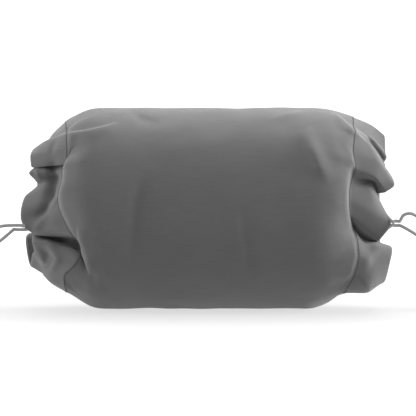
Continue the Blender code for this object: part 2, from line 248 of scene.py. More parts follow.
# Lights: name, place, size, power
LIGHTS = (
    ("top_light", (0.10, 0.90, 1.50), 1.10, 23.0),
    ("right_light", (1.60, 0.05, 0.25), 0.90, 58.0),
    ("left_light", (-1.60, 0.05, 0.35), 0.90, 18.0),
)
WORLD_STRENGTH = 1.30
# The floor glows more from the first of these distances to the second; its dimmer glow nearer in is
# painted shade round the bag
GLOW_SPAN = (0.15, 1.2)
FLOOR_HALF = 60.0
FLOOR_TOP = -0.0004

# Faint unevenness of the cloth: how many waves, how long, and their height for each metre of that
UNEVEN_SEED = 7
UNEVEN_WAVES = 30
UNEVEN_LENGTHS = (0.020, 0.070)
UNEVEN_SHARE = 0.0016

# Smaller folds at the front, drawn one by one: how wide each is to the left and to the right of
# its line, then the line's points as (x, height in the front view, rise)
STROKES = (
    # Left end: the ridge that runs on into the body, and the crease behind it
    (0.0012, 0.0080, ((-0.150, 0.171, 0.0), (-0.1385, 0.1745, 0.0018), (-0.1215, 0.177, 0.0020),
                      (-0.1015, 0.181, 0.0015), (-0.0885, 0.186, 0.0))),
    (0.0060, 0.0010, ((-0.150, 0.173, 0.0), (-0.1385, 0.177, -0.0015), (-0.1215, 0.1795, -0.0020),
                      (-0.1015, 0.1835, -0.0014), (-0.0885, 0.188, 0.0))),
    (0.0026, 0.0026, ((-0.1185, 0.198, 0.0), (-0.1220, 0.191, -0.0008), (-0.1265, 0.183, 0.0))),
    # Its upper lobe, with a facet's edge
    (0.0030, 0.0020, ((-0.1490, 0.172, 0.0), (-0.1530, 0.162, -0.0014), (-0.1560, 0.150, 0.0))),
    # The hollow beside the body's edge, and the ridge below it that falls to the outlet
    (0.0060, 0.0055, ((-0.1530, 0.144, -0.003), (-0.1530, 0.131, -0.010), (-0.1550, 0.114, -0.0090),
                      (-0.1620, 0.096, -0.004), (-0.1680, 0.086, 0.0))),
    (0.0040, 0.0030, ((-0.1470, 0.124, 0.0), (-0.1515, 0.109, 0.0030), (-0.1585, 0.097, 0.0034),
                      (-0.1700, 0.082, 0.0015))),
    (0.0020, 0.0020, ((-0.1705, 0.141, 0.0), (-0.1675, 0.133, 0.002), (-0.1690, 0.126, 0.0))),
    # The deep pocket and the body's crisp edge past it
    (0.0030, 0.0045, ((-0.1665, 0.0735, 0.0), (-0.1465, 0.069, -0.005), (-0.1280, 0.064, -0.004))),
    (0.0060, 0.0012, ((-0.1290, 0.084, 0.0), (-0.1255, 0.071, 0.0038), (-0.1225, 0.059, 0.0046),
                      (-0.1185, 0.045, 0.0040), (-0.1155, 0.034, 0.0))),
    (0.0012, 0.0045, ((-0.1300, 0.074, 0.0), (-0.1275, 0.063, -0.003), (-0.1235, 0.051, -0.003),
                      (-0.1195, 0.037, 0.0))),
    # The narrow ridges under the outlet
    (0.0045, 0.0016, ((-0.1625, 0.069, 0.0), (-0.1550, 0.060, 0.002), (-0.1490, 0.051, 0.0022),
                      (-0.1540, 0.041, 0.002), (-0.1615, 0.034, 0.0))),
    (0.0035, 0.0035, ((-0.1660, 0.062, 0.0), (-0.1590, 0.055, -0.003), (-0.1560, 0.047, 0.0))),
    (0.0016, 0.0030, ((-0.1720, 0.068, 0.0), (-0.1640, 0.052, 0.002), (-0.1600, 0.040, 0.0))),
    # Right end: the thin double ridge above the lobe
    (0.0012, 0.0012, ((0.1590, 0.172, 0.0), (0.1635, 0.167, -0.0028), (0.1725, 0.1555, -0.0038),
                      (0.1800, 0.144, -0.0028))),
    (0.0013, 0.0011, ((0.1615, 0.173, 0.0), (0.1660, 0.168, 0.0022), (0.1750, 0.1565, 0.0028),
                      (0.1815, 0.147, 0.0016))),
    # The ridge that comes down from the body's shoulder, and the crease behind it
    (0.0012, 0.0040, ((0.1255, 0.1955, 0.0), (0.1355, 0.187, 0.0018), (0.1465, 0.178, 0.0024),
                      (0.1585, 0.171, 0.0022), (0.1680, 0.158, 0.0022), (0.1790, 0.143, 0.0))),
    (0.0034, 0.0010, ((0.1300, 0.1960, 0.0), (0.1385, 0.189, -0.0016), (0.1490, 0.1805, -0.0018),
                      (0.1590, 0.1735, 0.0))),
    # Right body: the broad diagonal ridge, and the crisp edge beside the seam
    (0.0090, 0.0060, ((0.0960, 0.180, 0.0), (0.1040, 0.160, 0.0040), (0.1130, 0.141, 0.0042),
                      (0.1245, 0.127, 0.0))),
    (0.0018, 0.0140, ((0.1450, 0.140, 0.0), (0.1400, 0.128, 0.0008), (0.1385, 0.112, 0.0010),
                      (0.1400, 0.090, 0.0010), (0.1455, 0.072, 0.0012), (0.1480, 0.054, 0.0012),
                      (0.1440, 0.036, 0.0010), (0.1300, 0.022, 0.0))),
    # The right end's lower lobe, with a crest from its corner down
    (0.0040, 0.0060, ((0.1790, 0.064, 0.0), (0.1700, 0.060, 0.0020), (0.1620, 0.050, 0.0022),
                      (0.1570, 0.036, 0.0))),
    # Along the top of the body
    (0.0020, 0.0045, ((0.0565, 0.187, 0.0), (0.0800, 0.193, 0.0014), (0.1035, 0.197, 0.0))),
    (0.0040, 0.0050, ((-0.0800, 0.199, 0.0), (-0.0650, 0.190, -0.0018), (-0.0450, 0.184, 0.0))),
    # The soft dent down the body's front
    (0.0110, 0.0070, ((-0.0600, 0.140, 0.0), (-0.0670, 0.110, -0.0036), (-0.0710, 0.075, -0.0032),
                      (-0.0765, 0.035, 0.0))),
    # A faint upright crease right of the middle
    (0.0070, 0.0050, ((0.0330, 0.110, 0.0), (0.0380, 0.080, -0.0008), (0.0430, 0.045, -0.0014),
                      (0.0470, 0.018, 0.0))),
)


def from_front(x, height, y):
    """The point seen at that place in the front view, y metres from the bag's own middle."""
    tilt = math.radians(VIEW_ELEVATION)
    nearer = (VIEW_DISTANCE + y) / VIEW_DISTANCE
    across = VIEW_TARGET[0] + (x - VIEW_TARGET[0]) * nearer
    up = (height - VIEW_TARGET[2]) * nearer
    return across, y, VIEW_TARGET[2] + (up - y * math.sin(tilt)) / math.cos(tilt)


def end_lines(side):
    """Every fold line of one end, round the whole bag: the front's listed, the back's even."""
    lines = [[from_front(*point) for point in line[:-1]] for line in FRONT_LINES[side]]
    swell = [line[-1] for line in FRONT_LINES[side]]
    first, last = lines[0], lines[-1]
    for number in range(1, 2 * BACK_FOLDS):
        share = number / (2 * BACK_FOLDS)
        line = []
        for k, (x, mean, wave) in enumerate(BACK_RINGS[side]):
            starts = [math.atan2(p[2] - BACK_CENTRE, p[1]) for p in (last[k], first[k])]
            angle = starts[0] + ((starts[1] - starts[0]) % (2 * math.pi)) * share
            radius = mean + (wave if number % 2 == 0 else -wave)
            y, z = radius * math.cos(angle), BACK_CENTRE + radius * math.sin(angle)
            near = max(0.0, 1 - abs(share - BACK_REACH_AT) / BACK_REACH_HALF)
            reach = BACK_REACH[side] * near if k == 0 else 0.0
            line.append((SIDES[side] * (x + reach), y, max(z, BACK_LOWEST)))
        lines.append(line)
        near_end = 1 - min(1.0, 2 * min(share, 1 - share))
        end = swell[-1] if share < 0.5 else FRONT_LINES[side][0][-1]
        swell.append(BACK_SWELL + (min(end, 1.0) - BACK_SWELL) * near_end)
    lines = np.array(lines)
    lines[:, 0, 0] -= SIDES[side] * (FOLD_HALF + FABRIC / 2)
    return lines, np.array(swell)


def through_points(points, segment, share):
    """Points on the closed centripetal Catmull-Rom curve, each a share of the way along its segment."""
    gaps = np.linalg.norm(np.roll(points, -1, axis=0) - points, axis=1) ** 0.5
    count = len(points)
    a, b, c, d = (points[(segment + k) % count] for k in (-1, 0, 1, 2))
    ab, bc, cd = (gaps[(segment + k) % count][:, None] for k in (-1, 0, 1))
    slope_b = (b - a) / ab - (c - a) / (ab + bc) + (c - b) / bc
    slope_c = (c - b) / bc - (d - b) / (bc + cd) + (d - c) / cd
    t = share[:, None]
    return (
        (2 * t**3 - 3 * t**2 + 1) * b
        + (t**3 - 2 * t**2 + t) * bc * slope_b * FOLD_ROUNDNESS
        + (3 * t**2 - 2 * t**3) * c
        + (t**3 - t**2) * bc * slope_c * FOLD_ROUNDNESS
    )


def body_ring(turns):
    y = BODY_HALF[0] * np.cos(turns)
    return np.stack([y, BODY_CENTRE + BODY_HALF[1] * np.sin(turns)], -1)


def rows_of_end(side, turns, rows):
    """The end's rows, from the mouth to where the body is full."""
    lines, swell = end_lines(side)
    seam = lines[:, -1]
    gaps = np.linalg.norm(np.roll(seam, -1, axis=0) - seam, axis=1)
    starts = np.concatenate([[0], np.cumsum(gaps)[:-1]]) / gaps.sum() * 2 * np.pi
    actual = np.unwrap(np.arctan2(seam[:, 2] - BODY_CENTRE, seam[:, 1]))
    starts += (actual - starts).mean()
    # The column at a turn belongs to the line that starts before it
    along = (turns[:, None] - starts[None, :]) % (2 * np.pi)
    segment = np.argmin(along, axis=1)
    widths = np.diff(np.append(starts, starts[0] + 2 * np.pi))
    place = along[np.arange(len(turns)), segment] / widths[segment]

    full = body_ring(starts)
    sign = SIDES[side]
    stations = [lines[:, k] for k in range(3)]
    for out in SHOULDER_OUT:
        x = seam[:, 0] + (sign * BODY_X[side] - seam[:, 0]) * out
        yz = seam[:, 1:] + (full - seam[:, 1:]) * (out**swell)[:, None]
        stations.append(np.column_stack([x, yz]))
    hem = hermite(LINE_ROWS, stations[:3], rows)
    body = hermite((LINE_ROWS[-1], *SHOULDER_ROWS), stations[2:], rows)
    grid = []
    exact = np.column_stack([np.full(len(turns), sign * BODY_X[side]), body_ring(turns)])
    for distance, on_hem, on_body in zip(rows, hem, body):
        controls = on_hem if distance <= LINE_ROWS[-1] else on_body
        ring = through_points(controls, segment, place)
        blend = np.clip((distance - SHOULDER_ROWS[0]) / (SHOULDER_ROWS[-1] - SHOULDER_ROWS[0]), 0, 1)
        blend = blend * blend * (3 - 2 * blend)
        round_ring = exact.copy()
        round_ring[:, 0] = ring[:, 0]
        grid.append(ring * (1 - blend) + round_ring * blend)
    return np.array(grid)


def hermite(knots, values, at):
    """Smooth values at those places, through the ones at the knots."""
    knots, values, at = np.asarray(knots), np.asarray(values), np.asarray(at)
    spans = np.diff(knots)[:, None, None]
    slopes = np.diff(values, axis=0) / spans
    tangents = np.empty_like(values)
    tangents[0], tangents[-1] = slopes[0], slopes[-1]
    # The harmonic mean of the two slopes never overshoots
    product, total = slopes[:-1] * slopes[1:], slopes[:-1] + slopes[1:]
    safe = np.where(product > 0, total, 1.0)
    tangents[1:-1] = np.where(product > 0, 2 * product / safe, 0.0)
    i = np.clip(np.searchsorted(knots, at, side="right") - 1, 0, len(knots) - 2)
    span = (knots[i + 1] - knots[i])[:, None, None]
    t = np.clip((at - knots[i]) / (knots[i + 1] - knots[i]), 0, 1)[:, None, None]
    return (
        (2 * t**3 - 3 * t**2 + 1) * values[i]
        + (t**3 - 2 * t**2 + t) * span * tangents[i]
        + (3 * t**2 - 2 * t**3) * values[i + 1]
        + (t**3 - t**2) * span * tangents[i + 1]
    )


def folded_grid(finer):
    """The cloth as it was gathered: both ends through their fold lines, and the body between."""
    step = STEP / finer
    turns = np.arange(AROUND * finer) / (AROUND * finer) * 2 * np.pi
    half = ALONG * finer // 2
    full_row = int(SHOULDER_ROWS[-1] / step)
    end_rows = np.arange(full_row + 1) * step
    left = rows_of_end("left", turns, end_rows)
    right = rows_of_end("right", turns, end_rows)[::-1]
    gap = 2 * (half - full_row)
    share = (np.arange(1, gap) / gap)[:, None, None]
    middle = left[-1] * (1 - share) + right[0] * share
    grid = np.concatenate([left, middle, right])
    grid[:, :, 2] = np.maximum(grid[:, :, 2], 0.0010)
    return grid


def quads(rows, columns, closed=True):
    """Faces of a grid whose columns run round the bag, facing out."""
    j, i = np.meshgrid(
        np.arange(rows - 1), np.arange(columns if closed else columns - 1), indexing="ij"
    )
    right = (i + 1) % columns
    corners = (j * columns + i, j * columns + right, (j + 1) * columns + right)
    faces = np.stack([*corners, (j + 1) * columns + i], axis=-1)
    return faces.reshape(-1, 4)


def mesh_object(name, points, faces, uvs=None):
    """A smooth mesh object. uvs are one pair per face corner."""
    mesh = bpy.data.meshes.new(name)
    faces = [list(map(int, face)) for face in faces]
    mesh.from_pydata(np.asarray(points).reshape(-1, 3).tolist(), [], faces)
    if uvs is not None:
        layer = mesh.uv_layers.new(name="cloth")
        layer.data.foreach_set("uv", np.asarray(uvs, np.float32).reshape(-1))
    mesh.validate()
    mesh.shade_smooth()
    obj = bpy.data.objects.new(name, mesh)
    bpy.context.scene.collection.objects.link(obj)
    return obj


def settle_as_cloth(grid):
    """How far the gathered tube moves as it relaxes as cloth, held near its folds as it does."""
    rows, columns, _ = grid.shape
    cloth = mesh_object("cloth_in_motion", grid, quads(rows, columns))
    cloth.shape_key_add(name="Basis")
    flat = cloth.shape_key_add(name="as_cut")
    turn = np.arange(columns) / columns * 2 * np.pi
    radius = GIRTH / (2 * np.pi)
    cut = np.zeros_like(grid)
    cut[:, :, 0] = ((np.arange(rows) - (rows - 1) / 2) * STEP)[:, None]
    cut[:, :, 1] = radius * np.cos(turn)
    cut[:, :, 2] = radius * (1 + np.sin(turn))
    flat.data.foreach_set("co", cut.reshape(-1))

    held = cloth.vertex_groups.new(name="held")
    filled = cloth.vertex_groups.new(name="filled")
    for j in range(rows):
        distance = min(j, rows - 1 - j) * STEP
        row = list(range(j * columns, (j + 1) * columns))
        hold = np.interp(distance, SETTLE_HOLD_AT, SETTLE_HOLD)
        held.add(row, float(hold), "REPLACE")
        filled.add(row, float(np.interp(distance, SETTLE_FILLED_AT, SETTLE_FILLED)), "REPLACE")

    corners = [(-1, -1, 0), (1, -1, 0), (1, 1, 0), (-1, 1, 0)]
    ground = mesh_object("ground_in_motion", corners, [(0, 1, 2, 3)])
    ground.modifiers.new("ground", "COLLISION")
    ground.collision.thickness_outer = 0.001
    ground.collision.cloth_friction = 5

    modifier = cloth.modifiers.new("cloth", "CLOTH")
    settings = modifier.settings
    for setting, value in SETTLE_CLOTH.items():
        setattr(settings, setting, value)
    settings.vertex_group_pressure = filled.name
    settings.vertex_group_mass = held.name
    settings.rest_shape_key = flat
    settings.effector_weights.gravity = SETTLE_GRAVITY
    collisions = modifier.collision_settings
    collisions.distance_min = 0.001
    collisions.use_self_collision = True
    collisions.self_distance_min = 0.002
    modifier.point_cache.frame_start = 1
    modifier.point_cache.frame_end = SETTLE_FRAMES
    for number in range(1, SETTLE_FRAMES + 1):
        bpy.context.scene.frame_set(number)
    settled = cloth.evaluated_get(bpy.context.evaluated_depsgraph_get())
    points = np.empty(rows * columns * 3)
    settled.data.vertices.foreach_get("co", points)
    for obj in (cloth, ground):
        bpy.data.objects.remove(obj)
    bpy.context.scene.frame_set(1)
    moved = points.reshape(rows, columns, 3) - grid
    far = np.linalg.norm(moved, axis=2, keepdims=True)
    moved = moved * np.minimum(1.0, SETTLE_FURTHEST / np.maximum(far, 1e-9))
    return smoothed(moved, SETTLE_SMOOTHED)


def spline_rows(grid, at, closed):
    """Points on the smooth cubic through the grid's first axis, at those row numbers."""
    at = np.asarray(at, float)
    count = len(grid)
    i = np.floor(at).astype(int)
    if not closed:
        i = np.clip(i, 0, count - 2)
    t = (at - i)[:, None, None]

    def row(k):
        if closed:
            return grid[k % count]
        inside = np.clip(k, 0, count - 1)
        beyond = (k - inside)[:, None, None]
        return grid[inside] + beyond * (grid[-1] - grid[-2]) * (k > 0)[:, None, None] + (
            beyond * (grid[1] - grid[0]) * (k < 0)[:, None, None]
        )

    a, b, c, d = row(i - 1), row(i), row(i + 1), row(i + 2)
    return 0.5 * (
        2 * b
        + (c - a) * t
        + (2 * a - 5 * b + 4 * c - d) * t**2
        + (3 * b - a - 3 * c + d) * t**3
    )


def finer_grid(grid):
    """The grid with more rows and columns, on smooth curves through the old ones."""
    rows = np.arange((len(grid) - 1) * FINER + 1) / FINER
    grid = spline_rows(grid, rows, False)
    columns = np.arange(grid.shape[1] * FINER) / FINER
    return spline_rows(grid.transpose(1, 0, 2), columns, True).transpose(1, 0, 2)


def smoothed(grid, times, strength=0.5):
    """The grid with each point drawn towards its neighbours; the two mouths stay."""
    for _ in range(times):
        around = (np.roll(grid, 1, axis=1) + np.roll(grid, -1, axis=1)) / 2
        along = grid.copy()
        along[1:-1] = (grid[:-2] + grid[2:]) / 2
        mean = (around + along) / 2
        mean[0], mean[-1] = grid[0], grid[-1]
        grid = grid + strength * (mean - grid)
    return grid


def grid_normals(grid):
    along = np.gradient(grid, axis=0)
    around = (np.roll(grid, -1, axis=1) - np.roll(grid, 1, axis=1)) / 2
    normals = np.cross(around, along)
    return normals / np.maximum(np.linalg.norm(normals, axis=2, keepdims=True), 1e-9)


def front_view(grid):
    """Where the camera sees the grid's points: from_front() the other way round."""
    tilt = math.radians(VIEW_ELEVATION)
    nearer = (VIEW_DISTANCE + grid[:, :, 1]) / VIEW_DISTANCE
    across = VIEW_TARGET[0] + (grid[:, :, 0] - VIEW_TARGET[0]) / nearer
    up = (grid[:, :, 2] - VIEW_TARGET[2]) * math.cos(tilt) + grid[:, :, 1] * math.sin(tilt)
    return np.stack([across, VIEW_TARGET[2] + up / nearer], -1)


def stroke_rise(seen, widths, line):
    """How far one drawn fold lifts each point: full on its line, fading to each side of it."""
    line = np.array(line)
    nearest = np.full(seen.shape[:2], np.inf)
    rise = np.zeros(seen.shape[:2])
    for (x1, z1, h1), (x2, z2, h2) in zip(line, line[1:]):
        start, run = np.array((x1, z1)), np.array((x2 - x1, z2 - z1))
        share = np.clip(((seen - start) @ run) / (run @ run), 0, 1)
        away = seen - start - share[:, :, None] * run
        distance = np.linalg.norm(away, axis=2)
        above = run[0] * away[:, :, 1] - run[1] * away[:, :, 0] > 0
        width = np.where(above, *widths)
        height = h1 + (h2 - h1) * share
        here = distance < nearest
        nearest = np.where(here, distance, nearest)
        rise = np.where(here, height * np.exp(-((distance / width) ** 2)), rise)
    return rise


def undulation(grid):
    """Broad, faint unevenness, from waves that run in all directions through the cloth."""
    draw = np.random.default_rng(UNEVEN_SEED)
    rise = np.zeros(grid.shape[:2])
    for _ in range(UNEVEN_WAVES):
        direction = draw.normal(size=3)
        direction /= np.linalg.norm(direction)
        length = draw.uniform(*UNEVEN_LENGTHS)
        phase = draw.uniform(0, 2 * math.pi)
        rise += length * np.sin(grid @ direction * 2 * math.pi / length + phase)
    return UNEVEN_SHARE * rise[:, :, None] * grid_normals(grid)


def shaped(grid):
    """The settled cloth with the front's folds drawn on it, each pushed out or in."""
    grid = smoothed(grid, 2)
    broad = grid_normals(smoothed(grid, 12))
    push = 0.5 * broad + 0.5 * np.array((0.0, -1.0, 0.0))
    push /= np.linalg.norm(push, axis=2, keepdims=True)
    front = np.clip(-broad[:, :, 1] / 0.25, 0, 1)
    seen = front_view(grid)
    for *widths, line in STROKES:
        grid = grid + (front * stroke_rise(seen, widths, line))[:, :, None] * push
    return smoothed(grid + undulation(grid), 1)


def tube(points, radius, sides=12):
    """A tube along points, with its own length and turn as UVs, and capped ends."""
    points = np.asarray(points, float)
    count = len(points)
    ahead = np.vstack([points[1:], 2 * points[-1:] - points[-2:-1]])
    behind = np.vstack([2 * points[:1] - points[1:2], points[:-1]])
    tangents = ahead - behind
    tangents /= np.linalg.norm(tangents, axis=1, keepdims=True)
    side = np.cross(tangents[0], (0.3, 0.5, 0.8))
    side /= np.linalg.norm(side)
    rings, turns = [], np.arange(sides) / sides * 2 * np.pi
    for k in range(count):
        side = side - tangents[k] * (side @ tangents[k])
        side /= np.linalg.norm(side)
        up = np.cross(tangents[k], side)
        ring = np.outer(np.cos(turns), side) + np.outer(np.sin(turns), up)
        rings.append(points[k] + radius * ring)
    rings = np.array(rings)
    faces = quads(count, sides).tolist()
    lengths = np.concatenate([[0], np.cumsum(np.linalg.norm(np.diff(points, axis=0), axis=1))])
    j, i = np.meshgrid(np.arange(count - 1), np.arange(sides), indexing="ij")
    turn = 2 * math.pi * radius / sides
    corners = [(j, i), (j, i + 1), (j + 1, i + 1), (j + 1, i)]
    uvs = np.stack([np.stack([lengths[a], b * turn], -1) for a, b in corners], -2)
    faces.append(list(range(sides))[::-1])
    faces.append([(count - 1) * sides + k for k in range(sides)])
    return rings, faces, np.vstack([uvs.reshape(-1, 2), np.zeros((2 * sides, 2))])


def smooth_route(points, spacing):
    """Points that far apart along a Catmull-Rom curve through the route's own points."""
    points = [Vector(p) for p in points]
    ends = [2 * points[0] - points[1], *points, 2 * points[-1] - points[-2]]
    fine = []
    for a, b, c, d in zip(ends, ends[1:], ends[2:], ends[3:]):
        for i in range(12):
            t = i / 12
            bend = (2 * a - 5 * b + 4 * c - d) * t * t + (3 * b - a - 3 * c + d) * t * t * t
            fine.append(0.5 * (2 * b + (c - a) * t + bend))
    fine.append(points[-1])
    fine = np.array(fine)
    gaps = np.linalg.norm(np.diff(fine, axis=0), axis=1)
    lengths = np.concatenate([[0], np.cumsum(gaps)])
    count = round(lengths[-1] / spacing)
    at = np.linspace(0, lengths[-1], count + 1)
    return np.stack([np.interp(at, lengths, fine[:, k]) for k in range(3)], 1)


def strand_route(side, level):
    """The same points as the CAD strand: outlet, fall, straight through the lock, knot."""
    up = 1 if level == "upper" else -1
    lock_z = LOCK.z + up * LOCK_STRAND_RISE
    tail_x = KNOT.x - up * TAIL_HALF_SPREAD
    y, z = OUTLETS[side, level]
    points = [
        (STRAND_START, y, z),
        (STRAND_START + STRAND_LEAD, y, z),
        *STRAND_FALLS[side, level],
        (LOCK.x, LOCK.y - LOCK_STRAIGHT, lock_z),
        (LOCK.x, LOCK.y - LOCK_STRAIGHT / 2, lock_z),
        (LOCK.x, LOCK.y, lock_z),
        (LOCK.x, LOCK.y + LOCK_STRAIGHT / 2, lock_z),
        (LOCK.x, LOCK.y + LOCK_STRAIGHT, lock_z),
        (tail_x, (LOCK.y + LOCK_STRAIGHT + KNOT.y) / 2 - 0.002, (lock_z + KNOT.z) / 2),
        (tail_x, KNOT.y - KNOT_HALF[1] - CLEARANCE, KNOT.z),
    ]
    route = [(SIDES[side] * out, y, z) for out, y, z in points]
    return np.vstack([route[:1], smooth_route(route[1:], 2.2 * CORD)])


def make_strand(side, level, materials):
    route = strand_route(side, level)
    length = float(np.linalg.norm(np.diff(route, axis=0), axis=1).sum())
    strand = braided_tube(f"{side}_{level}_free_strand", route, CORD / 2, materials["cord"])
    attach(strand, "bag")
    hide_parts(f"{side}_{level}_strand")
    return strand, route, length


def braided_tube(name, route, radius, material):
    """A round braid: two families of strands crossing, standing just proud of each other."""
    route = smooth_route(route, BRAID_PITCH / 4)
    rings, faces, uvs = tube(route, radius, BRAID_SIDES)
    rows = np.arange(len(route))[:, None]
    turn = np.arange(BRAID_SIDES)[None, :] / BRAID_SIDES
    along = rows / 4
    one = np.cos(2 * math.pi * (BRAID_CARRIERS * turn + along))
    two = np.cos(2 * math.pi * (BRAID_CARRIERS * turn - along))
    relief = BRAID_RELIEF * np.maximum(one, two)
    centres = route[:, None, :]
    rings = centres + (rings - centres) * (1 + (relief / radius))[:, :, None]
    obj = mesh_object(name, rings, faces, uvs)
    obj.data.materials.append(material)
    return obj


def cloth_uvs(rows_at, columns):
    """A UV pair for each corner of quads(): metres along the girth and along the bag."""
    rows = len(rows_at)
    j, i = np.meshgrid(np.arange(rows - 1), np.arange(columns), indexing="ij")
    width = GIRTH / columns
    rows_at = np.asarray(rows_at, float)
    corners = [(j, i), (j, i + 1), (j + 1, i + 1), (j + 1, i)]
    return np.stack([np.stack([b * width, rows_at[a]], -1) for a, b in corners], -2)


def cloth_piece(name, rows, rows_at, material, inside_out=False):
    """A piece of the bag's cloth through rows of mid-surface points, given its thickness."""
    rows = np.asarray(rows)
    faces = quads(len(rows), rows.shape[1])
    uvs = cloth_uvs(rows_at, rows.shape[1]).reshape(-1, 4, 2)
    if inside_out:
        faces, uvs = faces[:, ::-1], uvs[:, ::-1]
    obj = mesh_object(name, rows, faces, uvs)
    obj.data.materials.append(material)
    solid = obj.modifiers.new("thickness", "SOLIDIFY")
    solid.thickness = FABRIC
    solid.offset = 0.0
    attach(obj, "bag")
    return obj


def make_body(grid, materials):
    seam = SEAM_ROW * FINER
    rows = grid[seam:-seam]
    at = np.arange(len(rows)) * STEP / FINER
    body = cloth_piece("body_cloth", rows, at, materials["cloth"])
    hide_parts("body_panel")


def hem_rows(grid, side):
    """Rows from the seam out to the mouth, over the fold and back, and the fold's own centre."""
    rows = grid[: SEAM_ROW * FINER + 1]
    if side == "right":
        rows = grid[::-1][: SEAM_ROW * FINER + 1]
    normals = grid_normals(grid)
    normals = normals[: len(rows)] if side == "left" else normals[::-1][: len(rows)]
    for _ in range(12):
        normals = (np.roll(normals, 1, axis=1) + np.roll(normals, -1, axis=1) + normals) / 3
    normals /= np.linalg.norm(normals, axis=2, keepdims=True)
    out = rows[0] - rows[2]
    out /= np.linalg.norm(out, axis=1, keepdims=True)
    centre = rows[0] - FOLD_HALF * normals[0]
    turns = np.pi * np.arange(1, FOLD_STEPS + 1) / (FOLD_STEPS + 1)
    fold = [centre + FOLD_HALF * (normals[0] * math.cos(t) + out * math.sin(t)) for t in turns]
    from_mouth = np.arange(len(rows)) * STEP / FINER
    share = np.clip(from_mouth / TUNNEL_DEPTH, 0, 1)
    share = share * share * (3 - 2 * share)
    gap = 2 * FOLD_HALF + (PLY_GAP - 2 * FOLD_HALF) * share
    inner = rows - gap[:, None, None] * normals
    return np.vstack([rows[::-1], np.array(fold), inner]), centre


def make_hem(grid, side, materials):
    rows, centre = hem_rows(grid, side)
    lengths = np.linalg.norm(np.diff(rows, axis=0), axis=2).mean(axis=1)
    at = np.concatenate([[0], np.cumsum(lengths)])
    hem = cloth_piece(f"{side}_hem_cloth", rows, at, materials["cloth"], side == "left")
    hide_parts(f"{side}_hem")
    return centre


def make_channel_cord(side, centre, materials):
    """In beside one strand's start, round the ruffled fold and back out to the other's start."""
    sign = SIDES[side]
    upper = np.array((sign * STRAND_START, *OUTLETS[side, "upper"]))
    lower = np.array((sign * STRAND_START, *OUTLETS[side, "lower"]))
    middle = (upper + lower) / 2
    start = int(np.argmin(np.linalg.norm(centre[:, 1:] - middle[1:], axis=1)))
    ring = np.roll(centre, -start, axis=0)
    keep = CORD_CLEAR * FINER
    inside = ring[0, 0] + sign * CORD
    ends = []
    for outlet in (lower, upper):
        deep = np.array((inside, *outlet[1:]))
        ends.append([outlet, outlet * 0.5 + deep * 0.5, deep])
    route = np.vstack([*ends[0], *ring[keep:-keep:3], *ends[1][::-1]])
    cord = braided_tube(f"{side}_drawcord", route, CORD / 2, materials["cord"])
    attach(cord, "bag")
    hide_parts(f"{side}_channel_cord")


def make_stitches(grid, side, materials):
    """One short thread after another along the seam, each sinking into the cloth at its ends."""
    row = SEAM_ROW * FINER
    line = grid[row] if side == "left" else grid[-1 - row]
    normals = grid_normals(grid)[row if side == "left" else -1 - row]
    closed = np.vstack([line, line[:1]])
    lengths = np.concatenate([[0], np.cumsum(np.linalg.norm(np.diff(closed, axis=0), axis=1))])
    closed_normals = np.vstack([normals, normals[:1]])
    count = round(lengths[-1] / STITCH_PITCH)
    pitch = lengths[-1] / count
    points, faces, uvs = [], [], []
    for number in range(count):
        along = pitch * number + np.linspace(0, STITCH_LENGTH, 5)
        path = np.stack([np.interp(along, lengths, closed[:, k]) for k in range(3)], 1)
        up = np.stack([np.interp(along, lengths, closed_normals[:, k]) for k in range(3)], 1)
        rise = FABRIC / 2 + THREAD * np.array([-0.6, 0.25, 0.4, 0.25, -0.6])
        rings, ring_faces, ring_uvs = tube(path + rise[:, None] * up, THREAD / 2, 6)
        first = sum(len(p) for p in points)
        points.append(rings.reshape(-1, 3))
        faces += [[first + k for k in face] for face in ring_faces]
        uvs.append(ring_uvs)
    name = f"{side}_seam_stitches"
    stitches = mesh_object(name, np.vstack(points), faces, np.vstack(uvs))
    stitches.data.materials.append(materials["thread"])
    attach(stitches, "bag")
    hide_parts(f"{side}_hem_stitching")


def make_seam_tape(grid, materials):
    """The binding inside the body, along its lengthwise seam, low at the back."""
    seam = SEAM_ROW * FINER
    normals = grid_normals(grid)
    first, last = (round(share * AROUND * FINER) for share in TAPE_TURN)
    rows = slice(seam + FINER, -seam - FINER)
    inside = grid[rows, first:last] - (FABRIC / 2 + TAPE_GAP) * normals[rows, first:last]
    tape = mesh_object("inside_seam_tape", inside, quads(*inside.shape[:2], closed=False))
    tape.data.materials.append(materials["tape"])
    solid = tape.modifiers.new("thickness", "SOLIDIFY")
    solid.thickness = TAPE
    solid.offset = -1.0
    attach(tape, "bag")
    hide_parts("seam_tape")


